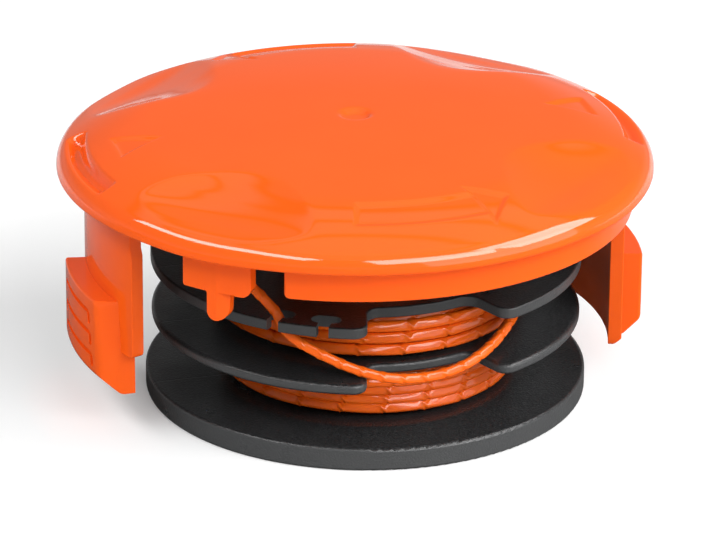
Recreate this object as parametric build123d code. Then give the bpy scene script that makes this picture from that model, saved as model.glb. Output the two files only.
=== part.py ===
from build123d import *
import math
import os

# Replacement line spool for a grass trimmer, with its clip-on cap resting on it.
# Millimetres, +Z up. The origin is on the spool's axis at its base, and the front faces -Y.
# Angles are in degrees about the axis, counted from +X towards +Y.

# Spool: three flanges on one hub
base_flange_r = 32.75
base_flange_t = 3.5
base_edge_round = 0.5
middle_flange_r = 31.8
middle_flange_t = 1.7
middle_edge_round = 0.7
top_flange_r = 31.9
top_flange_t = 1.7
top_edge_round = 0.3
lower_chamber_h = 7.8
upper_chamber_h = 7.1
hub_r = 12.0
bore_r = 7.5

# Spool: hollow under the base flange, with lugs that index the spool in the head
base_hollow_r = 25.0
base_hollow_depth = 1.8
base_sleeve_wall = 2.0
lug_count = 8
lug_reach = 9.0
lug_w = 3.0

# Spool: line windows in the two upper flanges, on opposite sides
window_count = 2
window_angle = -70.2
window_half_angle = 19.3
window_floor_r = 24.0
window_inner_round = 2.2
window_outer_round = 2.0

# Spool: keyed slots in the top flange that hold a line end
slot_angles = (-101.1, -114.6)
slot_neck_w = 1.8
slot_neck_len = 1.6
slot_bar_w = 4.4
slot_bar_len = 2.6

# Wound line
line_d = 1.5
lower_wind_r = 22.3
upper_wind_r = 23.2
row_valley = 0.5
wind_clear = 0.15

# Free line end: from the upper winding, out through a window, up through a slot
line_end_points = [
    (22.2, -9.9, 15.9),
    (21.3, -13.8, 15.9),
    (18.9, -19.3, 14.7),
    (16.3, -22.9, 13.8),
    (13.5, -25.3, 13.0),
    (9.7, -27.2, 12.5),
    (5.3, -28.5, 12.6),
    (2.3, -29.1, 13.2),
    (-2.0, -29.2, 14.5),
    (-6.4, -28.7, 16.5),
    (-9.9, -27.9, 18.2),
    (-11.8, -27.1, 19.9),
    (-12.6, -26.6, 21.9),
    (-14.1, -25.9, 23.4),
    (-16.1, -25.1, 25.2),
    (-18.0, -24.3, 26.9),
]
bend_share = 0.45

# Cap: place on the spool
cap_shift = -1.7
cap_turn = 15.0

# Cap: domed disc with a rounded rim, measured from the rim's underside
cap_r = 43.85
rim_round = 1.7
dome_rise = 8.55
dome_flat_r = 30.0
dome_flat_drop = 1.1
cap_wall = 2.0
rim_height = 12.2

# Cap: skirt, tabs and clip arms hanging from the rim's underside, set back from the rim
skirt_inset = 2.85
skirt_wall = 2.0
skirt_len = 4.3
skirt_start = -118.8
skirt_end = -17.0
tab_start = -141.0
tab_end = -124.9
tab_len = 5.0
finger_angle = -132.2
finger_w = 4.3
finger_len = 9.3
arm_inset = 4.0
arm_wall = 2.0
arm_len = 27.4
arm_start = -20.0
arm_end = 17.0
arm_lip_end = 21.5
arm_lip_len = 21.0
arm_corner_round = 1.2

# Cap: ribbed thumb grips standing out of the arms, their ends cut parallel to the mould's side slide
slide_angle = -15.0
grip_stand = 2.9
grip_start = 2.6
grip_w = 18.2
grip_lean = 1.8
grip_top = 13.3
grip_len = 10.6
grip_chamfer = 2.8
groove_count = 3
groove_first = 2.75
groove_pitch = 3.2
groove_w = 0.7
groove_depth = 0.6
groove_turn = 1.4
groove_margin = 2.6

# Cap: centre boss that stands on the spool, with stiffening ribs
boss_r = 11.5
boss_wall = 2.0
rib_count = 8
rib_w = 1.4
rib_reach = 15.0
rib_depth = 5.0

# Cap: relief on the dome
scoop_count = 4
scoop_angle = 45.0
scoop_r = 45.0
scoop_apex_r = 26.0
scoop_slope = 14.0
relief_depth = 0.5
dimple_r = 2.2
dimple_depth = 0.4
press_mark_base_r = 35.6
press_mark_tip_r = 29.6
press_mark_w = 6.8
rim_slot_inset = 1.65
rim_slot_w = 2.4
rim_slot_half_angle = 15.0
arrow_in_r = 32.4
arrow_w = 4.8
arrow_tail_angle = -104.5
arrow_neck_angle = -74.5
arrow_tip_angle = -67.0
arrow_barb = 1.8

side_count = 2
through = 4.0
lap = 0.5

middle_flange_z = base_flange_t + lower_chamber_h
upper_chamber_z = middle_flange_z + middle_flange_t
top_flange_z = upper_chamber_z + upper_chamber_h
spool_h = top_flange_z + top_flange_t
skirt_r = cap_r - skirt_inset
arm_r = cap_r - arm_inset
grip_r = arm_r + grip_stand
arrow_out_r = arrow_in_r + arrow_w


def polar(radius, angle):
    return (radius * math.cos(math.radians(angle)), radius * math.sin(math.radians(angle)))


def turned(shape, count, start=0.0):
    return [Rot(0, 0, start + 360 * i / count) * shape for i in range(count)]


def ring(outer, inner, low, high):
    return Pos(0, 0, low) * extrude(Circle(outer) - Circle(inner), high - low)


def sector(outer, inner, start, end, low, high):
    edge = Line(polar(inner, start), polar(outer, start))
    edge += ThreePointArc(polar(outer, start), polar(outer, (start + end) / 2), polar(outer, end))
    edge += Line(polar(outer, end), polar(inner, end))
    edge += ThreePointArc(polar(inner, end), polar(inner, (start + end) / 2), polar(inner, start))
    return Pos(0, 0, low) * extrude(make_face(edge), high - low)


def windowed_disc(radius):
    # A disc with its line windows, the corners rounded in plan.
    disc = Circle(radius)
    for i in range(window_count):
        middle = window_angle + 360 * i / window_count
        start = middle - window_half_angle
        end = middle + window_half_angle
        reach = radius + through
        side = Line(polar(window_floor_r, start), polar(reach, start))
        side += Line(polar(reach, start), polar(reach * 1.2, middle))
        side += Line(polar(reach * 1.2, middle), polar(reach, end))
        side += Line(polar(reach, end), polar(window_floor_r, end))
        side += ThreePointArc(
            polar(window_floor_r, end), polar(window_floor_r, middle), polar(window_floor_r, start)
        )
        disc -= make_face(side)
    corners = disc.vertices()
    middle_r = (window_floor_r + radius) / 2
    inner = [v for v in corners if math.hypot(v.X, v.Y) < middle_r]
    disc = fillet(inner, window_inner_round)
    outer = [v for v in disc.vertices() if math.hypot(v.X, v.Y) > radius - 0.01 and v.Z == 0]
    outer = [v for v in outer if not on_seam(v, radius)]
    return fillet(outer, window_outer_round)


def on_seam(vertex, radius):
    # The circle's own start point on +X isn't a corner.
    return abs(vertex.X - radius) < 0.01 and abs(vertex.Y) < 0.01


def key_slot(angle):
    # A neck from the rim into a cross bar with round ends.
    bar_out = top_flange_r - slot_neck_len
    bar_middle = bar_out - slot_bar_len / 2
    neck = Pos(bar_middle + top_flange_r / 2, 0) * Rectangle(top_flange_r, slot_neck_w)
    bar = Pos(bar_middle, 0) * Rot(0, 0, 90) * SlotOverall(slot_bar_w, slot_bar_len)
    cut = extrude(neck + bar, top_flange_t + 2 * through)
    return Rot(0, 0, angle) * Pos(0, 0, top_flange_z - through) * cut


def rounded_disc(face, low, thickness, edge_round):
    plate = Pos(0, 0, low) * extrude(face, thickness)
    rims = plate.edges().group_by(Axis.Z)
    return fillet(rims[0] + rims[-1], edge_round)


def line_spool():
    base = rounded_disc(Circle(base_flange_r), 0, base_flange_t, base_edge_round)
    middle = rounded_disc(
        windowed_disc(middle_flange_r), middle_flange_z, middle_flange_t, middle_edge_round
    )
    top = rounded_disc(windowed_disc(top_flange_r), top_flange_z, top_flange_t, top_edge_round)
    for side in range(window_count):
        for angle in slot_angles:
            top -= key_slot(angle + 360 * side / window_count)
    hub = Pos(0, 0, base_hollow_depth) * extrude(Circle(hub_r), spool_h - base_hollow_depth)
    spool = base + middle + top + hub
    sleeve_r = bore_r + base_sleeve_wall
    spool -= ring(base_hollow_r, sleeve_r, 0, base_hollow_depth)
    lug = Pos(sleeve_r + lug_reach / 2 - lap, 0) * Rectangle(lug_reach + 2 * lap, lug_w)
    for one in turned(extrude(lug, base_hollow_depth + lap), lug_count, 360 / lug_count / 2):
        spool += one
    return spool - extrude(Circle(bore_r), spool_h)


def winding(outer, low, height):
    # One closed solid of the wound line, its outside ridged by the rows of turns.
    start = low + wind_clear
    rows = int((height - 2 * wind_clear) / line_d)
    pitch = (height - 2 * wind_clear) / rows
    inner = hub_r + wind_clear
    valley = outer - row_valley
    edge = Line((inner, 0, start), (valley, 0, start))
    for row in range(rows):
        z = start + row * pitch
        edge += ThreePointArc((valley, 0, z), (outer, 0, z + pitch / 2), (valley, 0, z + pitch))
    top = start + rows * pitch
    edge += Line((valley, 0, top), (inner, 0, top))
    edge += Line((inner, 0, top), (inner, 0, start))
    return revolve(make_face(edge), Axis.Z)


def line_end():
    points = [Vector(*p) for p in line_end_points]
    radii = []
    for before, here, after in zip(points, points[1:], points[2:]):
        run = min((here - before).length, (after - here).length)
        turn = (here - before).get_angle(after - here)
        radii.append(bend_share * run / math.tan(math.radians(turn / 2)))
    print("line end radii", [round(r, 1) for r in radii])
    path = FilletPolyline(*points, radius=radii)
    tube = sweep(Plane(path @ 0, z_dir=path % 0) * Circle(line_d / 2), path)
    print("line end length", round(path.length, 2))
    print("volume to section times length", round(tube.volume / (path.length * math.pi * line_d**2 / 4), 4))
    return tube


def dome_profile(drop):
    # The dome's outside from the axis to the rim's top, lowered by drop.
    top = rim_height + dome_rise - drop
    bow = (dome_flat_r**2 + dome_flat_drop**2) / (2 * dome_flat_drop)
    flat_angle = math.degrees(math.asin(dome_flat_r / bow))
    flat = CenterArc((0, top - bow), bow, 90, -flat_angle)
    rim_middle = (cap_r - rim_round, rim_height + rim_round - drop)
    rim_start = (rim_middle[0] + 0.6 * rim_round, rim_middle[1] + 0.8 * rim_round)
    shoulder = TangentArc(flat @ 1, rim_start, tangent=flat % 1)
    return flat, shoulder, rim_start


def dome_block(drop):
    # The dome as a full body down to the rim's underside.
    flat, shoulder, rim_start = dome_profile(drop)
    underside = rim_height - drop
    rim = ThreePointArc(
        rim_start, (cap_r, underside + rim_round), (cap_r - rim_round, underside)
    )
    edge = flat + shoulder + rim
    edge += Line((cap_r - rim_round, underside), (0, underside))
    edge += Line((0, underside), flat @ 0)
    return revolve(Plane.XZ * make_face(edge), Axis.Z)


def dome_hollow():
    # The space inside the dome and its hanging walls, one wall below the dome's outside.
    inner_r = skirt_r - skirt_wall
    low = rim_height - max(skirt_len, tab_len, finger_len) - through
    flat, shoulder, rim_start = dome_profile(cap_wall)
    corner = (inner_r, rim_height + rim_round)
    edge = flat + TangentArc(flat @ 1, corner, tangent=flat % 1)
    edge += Line(corner, (inner_r, low))
    edge += Line((inner_r, low), (0, low))
    edge += Line((0, low), flat @ 0)
    return revolve(Plane.XZ * make_face(edge), Axis.Z)


def scoop():
    # A round trough that falls outwards and runs out at the rim.
    start = rim_height + dome_rise - dome_flat_drop * (scoop_apex_r / dome_flat_r) ** 2
    trough = Rot(0, 90 + scoop_slope, 0) * Cylinder(scoop_r, 3 * cap_r)
    lift = start + scoop_r / math.cos(math.radians(scoop_slope))
    lift += scoop_apex_r * math.tan(math.radians(scoop_slope))
    return Rot(0, 0, scoop_angle) * Pos(0, 0, lift) * trough


def dimple():
    # A shallow round hollow at the crown.
    ball = (dimple_r**2 + dimple_depth**2) / (2 * dimple_depth)
    return Pos(0, 0, rim_height + dome_rise - dimple_depth + ball) * Sphere(ball)


def press_mark():
    half = press_mark_w / 2
    return Polyline(
        (press_mark_tip_r, 0), (press_mark_base_r, half), (press_mark_base_r, -half), close=True
    )


def arrow_mark():
    middle_r = (arrow_in_r + arrow_out_r) / 2
    shaft_middle = (arrow_tail_angle + arrow_neck_angle) / 2
    edge = ThreePointArc(
        polar(arrow_in_r, arrow_tail_angle),
        polar(arrow_in_r, shaft_middle),
        polar(arrow_in_r, arrow_neck_angle),
    )
    edge += Polyline(
        polar(arrow_in_r, arrow_neck_angle),
        polar(arrow_in_r - arrow_barb, arrow_neck_angle),
        polar(middle_r, arrow_tip_angle),
        polar(arrow_out_r + arrow_barb, arrow_neck_angle),
        polar(arrow_out_r, arrow_neck_angle),
    )
    edge += ThreePointArc(
        polar(arrow_out_r, arrow_neck_angle),
        polar(arrow_out_r, shaft_middle),
        polar(arrow_out_r, arrow_tail_angle),
    )
    edge += Line(polar(arrow_out_r, arrow_tail_angle), polar(arrow_in_r, arrow_tail_angle))
    return edge


def relief():
    # Sunk marks of even depth: what each plan shape covers, down to the lowered dome.
    rise = dome_rise + through
    marks = [extrude(make_face(edge), rise) for edge in (press_mark(), arrow_mark())]
    half = rim_slot_half_angle
    slot_out = cap_r - rim_slot_inset
    marks.append(sector(slot_out, slot_out - rim_slot_w, -half, half, 0, rise))
    lowered = dome_block(relief_depth)
    sunk = [Pos(0, 0, rim_height) * mark - lowered for mark in marks]
    return [one for mark in sunk for one in turned(mark, side_count)]


def clip_arm():
    # A curved plate with a shorter lip on one side and a ribbed thumb grip outside.
    root = rim_height + rim_round + cap_wall
    foot = rim_height - arm_len
    lip_foot = rim_height - arm_lip_len
    near, far, lip = [arm_r * math.sin(math.radians(a)) for a in (arm_start, arm_end, arm_lip_end)]
    outline = Polyline(
        (near, root), (near, foot), (far, foot), (far, lip_foot), (lip, lip_foot), (lip, root), close=True
    )
    plate = make_face(outline)
    plate = fillet([v for v in plate.vertices() if v.Y < root - lap], arm_corner_round)
    arm = extrude(Plane.YZ * plate, arm_r) & ring(arm_r, arm_r - arm_wall, foot - lap, root)
    return arm + thumb_grip()


def thumb_grip():
    # A turned block with a chamfered foot, one end leaning outwards, grooved outside.
    top = rim_height - grip_top
    low = top - grip_len
    foot = low - grip_chamfer
    inner = arm_r - arm_wall
    profile = Polyline(
        (inner, 0, top),
        (grip_r, 0, top),
        (grip_r, 0, low),
        (grip_r - grip_chamfer, 0, foot),
        (inner, 0, foot),
        close=True,
    )
    end = grip_start + grip_w
    side = Polyline((grip_start, top), (grip_start, foot), (end + grip_lean, foot), (end, top), close=True)
    block = Rot(0, 0, slide_angle) * extrude(Plane.YZ * make_face(side), grip_r)
    grip = block & revolve(make_face(profile), Axis.Z)
    first = slide_angle + math.degrees(math.asin(grip_start / grip_r) + groove_margin / grip_r)
    last = slide_angle + math.degrees(math.asin(end / grip_r) - groove_margin / grip_r)
    width = math.degrees(groove_w / grip_r)
    for i in range(groove_count):
        z = top - groove_first - groove_pitch * i
        turned_low = z - groove_turn
        for start, stop, bottom in (
            (first, last, z),
            (first, first + width, turned_low),
            (last - width, last, turned_low),
        ):
            grip -= sector(grip_r + through, grip_r - groove_depth, start, stop, bottom, z + groove_w)
    return grip


def hanging_wall(start, end, length):
    # A block under the rim, left as a wall once the cap is hollowed.
    return sector(skirt_r, skirt_r - 2 * skirt_wall, start, end, rim_height - length, rim_height + 2 * lap)


def tab():
    # A short wall with a finger that ends in a half round.
    drop = finger_len - finger_w / 2
    face = Pos(0, -drop / 2) * Rectangle(finger_w, drop) + Pos(0, -drop) * Circle(finger_w / 2)
    finger = Rot(0, 0, finger_angle) * Pos(0, 0, rim_height) * extrude(Plane.YZ * face, skirt_r)
    finger &= ring(skirt_r, skirt_r - 2 * skirt_wall, rim_height - finger_len, rim_height)
    return hanging_wall(tab_start, tab_end, tab_len) + finger


def centre_boss():
    # The tube that stands on the spool, and the ribs that tie it to the dome.
    under = rim_height + dome_rise - cap_wall
    boss = ring(boss_r, boss_r - boss_wall, 0, under)
    rib_low = under - dome_flat_drop - rib_depth
    rib = Pos(boss_r + rib_reach / 2 - lap, 0, rib_low) * extrude(
        Rectangle(rib_reach + 2 * lap, rib_w), under - rib_low - dome_flat_drop / 2
    )
    for one in turned(rib, rib_count, 360 / rib_count / 2):
        boss += one
    return boss


def spool_cap():
    cap = dome_block(0) - dimple()
    for one in turned(scoop(), scoop_count) + relief():
        cap -= one
    for piece in (hanging_wall(skirt_start, skirt_end, skirt_len), tab()):
        for one in turned(piece, side_count):
            cap += one
    cap -= dome_hollow()
    for one in turned(clip_arm(), side_count):
        cap += one
    cap += centre_boss()
    return Pos(cap_shift, 0, spool_h) * Rot(0, 0, cap_turn) * cap


nodes = {
    "line_spool": line_spool(),
    "lower_line": winding(lower_wind_r, base_flange_t, lower_chamber_h),
    "upper_line": winding(upper_wind_r, upper_chamber_z, upper_chamber_h),
    "line_end": line_end(),
    "spool_cap": spool_cap(),
}

os.makedirs("parts", exist_ok=True)
for name, shape in nodes.items():
    export_step(shape, f"parts/{name}.step")
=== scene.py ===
import math

import bmesh
import bpy
import numpy as np
from mathutils import Matrix, Vector


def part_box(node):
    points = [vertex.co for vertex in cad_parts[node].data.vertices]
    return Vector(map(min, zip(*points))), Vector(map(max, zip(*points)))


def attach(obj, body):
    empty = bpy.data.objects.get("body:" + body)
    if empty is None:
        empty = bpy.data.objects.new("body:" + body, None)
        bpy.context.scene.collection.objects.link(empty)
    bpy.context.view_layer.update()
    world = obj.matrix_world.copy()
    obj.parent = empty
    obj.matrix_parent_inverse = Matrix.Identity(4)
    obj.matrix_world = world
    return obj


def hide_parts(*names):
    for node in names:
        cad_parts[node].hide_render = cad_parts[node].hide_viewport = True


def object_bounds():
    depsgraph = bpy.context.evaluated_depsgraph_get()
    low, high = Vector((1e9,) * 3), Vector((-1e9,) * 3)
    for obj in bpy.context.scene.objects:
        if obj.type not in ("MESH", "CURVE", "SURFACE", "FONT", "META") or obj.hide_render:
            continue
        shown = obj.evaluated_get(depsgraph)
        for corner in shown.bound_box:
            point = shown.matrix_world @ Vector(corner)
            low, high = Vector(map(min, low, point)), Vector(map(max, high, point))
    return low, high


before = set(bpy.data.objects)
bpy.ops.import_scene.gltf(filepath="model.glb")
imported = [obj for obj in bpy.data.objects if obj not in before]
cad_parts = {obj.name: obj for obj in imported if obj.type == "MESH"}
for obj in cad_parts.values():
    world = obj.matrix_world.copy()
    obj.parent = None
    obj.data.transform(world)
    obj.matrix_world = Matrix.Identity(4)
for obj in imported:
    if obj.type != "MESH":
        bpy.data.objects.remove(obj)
cadLow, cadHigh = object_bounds()
mm = 0.001
scene = bpy.context.scene
scene.view_settings.view_transform = "Standard"
print("frame loaded:", ", ".join(sorted(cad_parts)))


# small helpers

def newObject(name, data):
    thing = bpy.data.objects.new(name, data)
    scene.collection.objects.link(thing)
    return thing


def bake(piece):  # modifiers become plain mesh
    graph = bpy.context.evaluated_depsgraph_get()
    mesh = bpy.data.meshes.new_from_object(piece.evaluated_get(graph))
    piece.modifiers.clear()
    piece.data = mesh
    return piece


def feed(tree, node, values):  # a socket is linked, anything else is set
    for key, value in values.items():
        if isinstance(value, bpy.types.NodeSocket):
            tree.links.new(value, node.inputs[key])
        else:
            node.inputs[key].default_value = value
    return node


def put(tree, kind, values=None, **settings):  # a new node with its settings, then its inputs
    node = tree.nodes.new(kind)
    for key, value in settings.items():
        setattr(node, key, value)
    return feed(tree, node, values or {})


def math2(tree, operation, a, b=0.0):
    return put(tree, "ShaderNodeMath", {0: a, 1: b}, operation=operation).outputs[0]


def vectorMath(tree, operation, values):
    return put(tree, "ShaderNodeVectorMath", values, operation=operation).outputs[0]


def ramp(tree, value, low, high, span=(0.0, 1.0), kind="LINEAR"):  # a span of values taken to low and high
    node = put(tree, "ShaderNodeMapRange", {
        "Value": value, "From Min": span[0], "From Max": span[1], "To Min": low, "To Max": high,
    }, interpolation_type=kind)
    return node.outputs["Result"]


def mixColours(tree, share, first, second):  # each a socket, or three numbers
    ends = [end if isinstance(end, bpy.types.NodeSocket) else (*end, 1) for end in (first, second)]
    mix = put(tree, "ShaderNodeMix", {"Factor": share, "A": ends[0], "B": ends[1]}, data_type="RGBA")
    return mix.outputs["Result"]


def smoothStep(edge0, edge1, x):
    t = np.clip((x - edge0) / (edge1 - edge0), 0, 1)
    return t * t * (3 - 2 * t)


# camera, at the photograph's angle

photoView = {
    "target": (-0.857, 0.0, 17.456),  # mm
    "distance": 700.0,
    "elevation": 22.505,
    "roll": 0.45,
    "pixelsPerMm": 6.741,
    "imageWidth": 720,
    "sensorWidth": 36.0,
    "clip": (0.01, 20.0),  # m
}


def makeCamera():
    lens = bpy.data.cameras.new("photoCamera")
    lens.sensor_width = photoView["sensorWidth"]
    focalPixels = photoView["pixelsPerMm"] * photoView["distance"]
    lens.lens = focalPixels / photoView["imageWidth"] * lens.sensor_width
    lens.clip_start, lens.clip_end = photoView["clip"]
    camera = newObject("photoCamera", lens)
    e = math.radians(photoView["elevation"])
    back = Vector((0, -math.cos(e), math.sin(e)))
    right = Matrix.Rotation(math.radians(-photoView["roll"]), 3, -back) @ Vector((1, 0, 0))
    up = back.cross(right)
    turn = Matrix((right, up, back)).transposed().to_4x4()
    place = (Vector(photoView["target"]) + back * photoView["distance"]) * mm
    camera.matrix_world = Matrix.Translation(place) @ turn
    scene.camera = camera


makeCamera()
print("camera set")


# surface grain shared by the mouldings and the line

noiseSpan = (0.3, 0.7)  # where most of a noise texture's values lie


def makeGrainGroup():
    group = bpy.data.node_groups.new("mouldGrain", "ShaderNodeTree")
    face = group.interface
    face.new_socket("Grain Size", in_out="INPUT", socket_type="NodeSocketFloat").default_value = 0.0003
    face.new_socket("Cloud Size", in_out="INPUT", socket_type="NodeSocketFloat").default_value = 0.01
    face.new_socket("Height", in_out="OUTPUT", socket_type="NodeSocketFloat")
    face.new_socket("Cloud", in_out="OUTPUT", socket_type="NodeSocketFloat")
    given = put(group, "NodeGroupInput")
    place = put(group, "ShaderNodeTexCoord").outputs["Object"]
    grainScale = math2(group, "DIVIDE", 1.0, given.outputs["Grain Size"])
    cloudScale = math2(group, "DIVIDE", 1.0, given.outputs["Cloud Size"])
    grain = put(group, "ShaderNodeTexNoise", {"Vector": place, "Scale": grainScale, "Detail": 2.0})
    cloud = put(group, "ShaderNodeTexNoise", {"Vector": place, "Scale": cloudScale, "Detail": 3.0})
    put(group, "NodeGroupOutput", {"Height": grain.outputs["Fac"], "Cloud": cloud.outputs["Fac"]})
    return group


grainGroup = makeGrainGroup()


def startMaterial(name, look):
    material = bpy.data.materials.new(name)
    material.use_nodes = True
    tree = material.node_tree
    grain = put(tree, "ShaderNodeGroup", node_tree=grainGroup)
    feed(tree, grain, {"Grain Size": look["grainSize"] * mm, "Cloud Size": look["cloudSize"] * mm})
    return material, tree, tree.nodes["Principled BSDF"], grain


def grainBump(tree, height, look):
    bump = put(tree, "ShaderNodeBump", {
        "Height": height, "Distance": look["grainDepth"] * mm, "Strength": look["bumpStrength"]})
    return bump.outputs["Normal"]


# the colour itself nearby, a grey in the light and reflections that go further
def quietBounce(tree, colour, look, mirrored):
    rays = put(tree, "ShaderNodeLightPath").outputs
    shiny = math2(tree, "MULTIPLY", rays["Is Glossy Ray"], mirrored)
    bounced = math2(tree, "MAXIMUM", rays["Is Diffuse Ray"], shiny)
    away = math2(tree, "GREATER_THAN", rays["Ray Length"], look["afar"] * mm)
    return mixColours(tree, math2(tree, "MULTIPLY", bounced, away), colour, look["seenFromAfar"])


capFinish = {
    "orange": (0.93, 0.112, 0.007),
    "deepOrange": (0.90, 0.100, 0.005),
    "grainSize": 0.34,
    "cloudSize": 14.0,
    "roughLow": 0.05,
    "roughHigh": 0.08,
    "insideRough": 0.62,
    "grainDepth": 0.05,
    "bumpStrength": 0.8,
    "shineDepth": 0.03,  # how much of the grain the polished outside keeps
    "shine": 0.75,
    "insideShine": 0.06,
    "seenFromAfar": (0.11, 0.10, 0.095),  # keeps the orange off the floor and the black spool
    "afar": 12.0,
}


def makeCapPlastic():  # polished outside, spark-eroded grain inside
    look = capFinish
    material, tree, surface, grain = startMaterial("cap_plastic", look)
    cloud = grain.outputs["Cloud"]
    inside = put(tree, "ShaderNodeAttribute", attribute_name="inside").outputs["Fac"]
    polished = ramp(tree, cloud, look["roughLow"], look["roughHigh"], noiseSpan)
    depth = ramp(tree, inside, look["shineDepth"], 1.0)
    height = math2(tree, "MULTIPLY", grain.outputs["Height"], depth)
    orange = mixColours(tree, cloud, look["orange"], look["deepOrange"])
    feed(tree, surface, {
        "Base Color": quietBounce(tree, orange, look, inside),
        "Roughness": ramp(tree, inside, polished, look["insideRough"]),
        "Specular IOR Level": ramp(tree, inside, look["shine"], look["insideShine"]),
        "Normal": grainBump(tree, height, look),
    })
    return material


spoolFinish = {
    "black": (0.008, 0.008, 0.0085),
    "worn": (0.032, 0.032, 0.033),
    "edge": (0.060, 0.061, 0.062),  # upright faces, painted lighter: a painted sheen standing in for the bright surroundings they mirror
    "uprightSpan": (0.3, 0.7),  # of the normal's own height
    "seam": (0.004, 0.004, 0.004),
    "grainSize": 0.30,
    "cloudSize": 6.0,
    "roughLow": 0.27,
    "roughHigh": 0.38,
    "grainDepth": 0.08,
    "bumpStrength": 0.8,
    "partingTurn": 17.0,  # degrees from +X to the mould's parting plane
    "partingWidth": 0.19,
    "partingDepth": 0.6,
}


def makeSpoolPlastic():
    look = spoolFinish
    material, tree, surface, grain = startMaterial("spool_plastic", look)
    place = put(tree, "ShaderNodeTexCoord").outputs["Object"]
    turn = math.radians(look["partingTurn"] + 90)
    aside = put(tree, "ShaderNodeVectorMath", {0: place, 1: (math.cos(turn), math.sin(turn), 0)},
                operation="DOT_PRODUCT").outputs["Value"]
    seam = ramp(tree, math2(tree, "ABSOLUTE", aside), look["partingDepth"], 0.0,
                (0.0, look["partingWidth"] * mm), "SMOOTHSTEP")
    facing = put(tree, "ShaderNodeNewGeometry").outputs["Normal"]
    level = math2(tree, "ABSOLUTE", put(tree, "ShaderNodeSeparateXYZ", {"Vector": facing}).outputs["Z"])
    upright = ramp(tree, level, 1.0, 0.0, look["uprightSpan"])
    speck = ramp(tree, grain.outputs["Height"], 0.0, 1.0, noiseSpan)
    colour = mixColours(tree, speck, look["black"], look["worn"])
    # painted sheen: the upright faces get the lighter edge colour, standing in for the reflection of the
    # bright surroundings
    colour = mixColours(tree, upright, colour, look["edge"])
    feed(tree, surface, {
        "Base Color": mixColours(tree, seam, colour, look["seam"]),
        "Roughness": ramp(tree, grain.outputs["Cloud"], look["roughLow"], look["roughHigh"], noiseSpan),
        "Normal": grainBump(tree, math2(tree, "SUBTRACT", grain.outputs["Height"], seam), look),
    })
    return material


lineFinish = {
    "orange": (0.93, 0.150, 0.010),
    "amber": (0.86, 0.110, 0.005),
    "grainSize": 0.6,
    "cloudSize": 4.0,
    "roughLow": 0.09,
    "roughHigh": 0.15,
    "grainDepth": 0.006,
    "bumpStrength": 0.5,
    "scatter": 0.15,
    "scatterRadius": (1.0, 0.35, 0.1),
    "scatterScale": 0.8,
    "seenFromAfar": (0.06, 0.055, 0.05),
    "afar": 3.0,
}


def makeLineNylon():
    look = lineFinish
    material, tree, surface, grain = startMaterial("line_nylon", look)
    cloud = grain.outputs["Cloud"]
    orange = mixColours(tree, cloud, look["orange"], look["amber"])
    feed(tree, surface, {
        "Base Color": quietBounce(tree, orange, look, 1.0),
        "Roughness": ramp(tree, cloud, look["roughLow"], look["roughHigh"], noiseSpan),
        "Normal": grainBump(tree, grain.outputs["Height"], look),
        "Subsurface Weight": look["scatter"],
        "Subsurface Radius": look["scatterRadius"],
        "Subsurface Scale": look["scatterScale"] * mm,
    })
    return material


capPlastic = makeCapPlastic()
spoolPlastic = makeSpoolPlastic()
lineNylon = makeLineNylon()
print("materials made")


# twisted square strand, for the free line and the windings

strandShape = {
    "cornerPoints": 4,
    "swayScale": 0.8,
}


def makeTwistGroup():  # tilt that rests on the flats and turns at the knuckles
    group = bpy.data.node_groups.new("knuckleTwist", "GeometryNodeTree")
    face = group.interface
    face.new_socket("Quarters", in_out="INPUT", socket_type="NodeSocketFloat")
    face.new_socket("Knuckle", in_out="INPUT", socket_type="NodeSocketFloat").default_value = 0.3
    face.new_socket("Tilt", in_out="OUTPUT", socket_type="NodeSocketFloat")
    given = put(group, "NodeGroupInput")
    quarters = given.outputs["Quarters"]
    start = math2(group, "SUBTRACT", 1.0, given.outputs["Knuckle"])
    turn = ramp(group, math2(group, "FRACT", quarters), 0.0, 1.0, (start, 1.0), "SMOOTHSTEP")
    steps = math2(group, "ADD", math2(group, "FLOOR", quarters), turn)
    put(group, "NodeGroupOutput", {"Tilt": math2(group, "MULTIPLY", steps, math.pi / 2)})
    return group


twistGroup = makeTwistGroup()


def newTree(name, sizes):  # a geometry tree with named float inputs, a material and one result
    tree = bpy.data.node_groups.new(name, "GeometryNodeTree")
    tree.interface.new_socket("Geometry", in_out="INPUT", socket_type="NodeSocketGeometry")
    for size in sizes:
        tree.interface.new_socket(size, in_out="INPUT", socket_type="NodeSocketFloat")
    tree.interface.new_socket("Material", in_out="INPUT", socket_type="NodeSocketMaterial")
    tree.interface.new_socket("Geometry", in_out="OUTPUT", socket_type="NodeSocketGeometry")
    return tree, put(tree, "NodeGroupInput")


def endTree(tree, given, geometry):
    smooth = put(tree, "GeometryNodeSetShadeSmooth", {"Geometry": geometry})
    real = put(tree, "GeometryNodeRealizeInstances", {"Geometry": smooth.outputs["Geometry"]})
    dressed = put(tree, "GeometryNodeSetMaterial",
                  {"Geometry": real.outputs["Geometry"], "Material": given.outputs["Material"]})
    put(tree, "NodeGroupOutput", {"Geometry": dressed.outputs["Geometry"]})


def runTree(piece, tree, values):  # set the inputs by identifier, then bake
    modifier = piece.modifiers.new(tree.name, "NODES")
    modifier.node_group = tree
    for item in tree.interface.items_tree:
        if item.in_out == "INPUT" and item.name in values:
            modifier[item.identifier] = values[item.name]
    return bake(piece)


def swayNoise(tree, where, scale, detail, size):  # a smooth sway to both sides
    noise = put(tree, "ShaderNodeTexNoise", {"W": where, "Scale": scale, "Detail": detail},
                noise_dimensions="1D")
    return math2(tree, "MULTIPLY", math2(tree, "SUBTRACT", noise.outputs["Fac"], 0.5), size)


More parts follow.
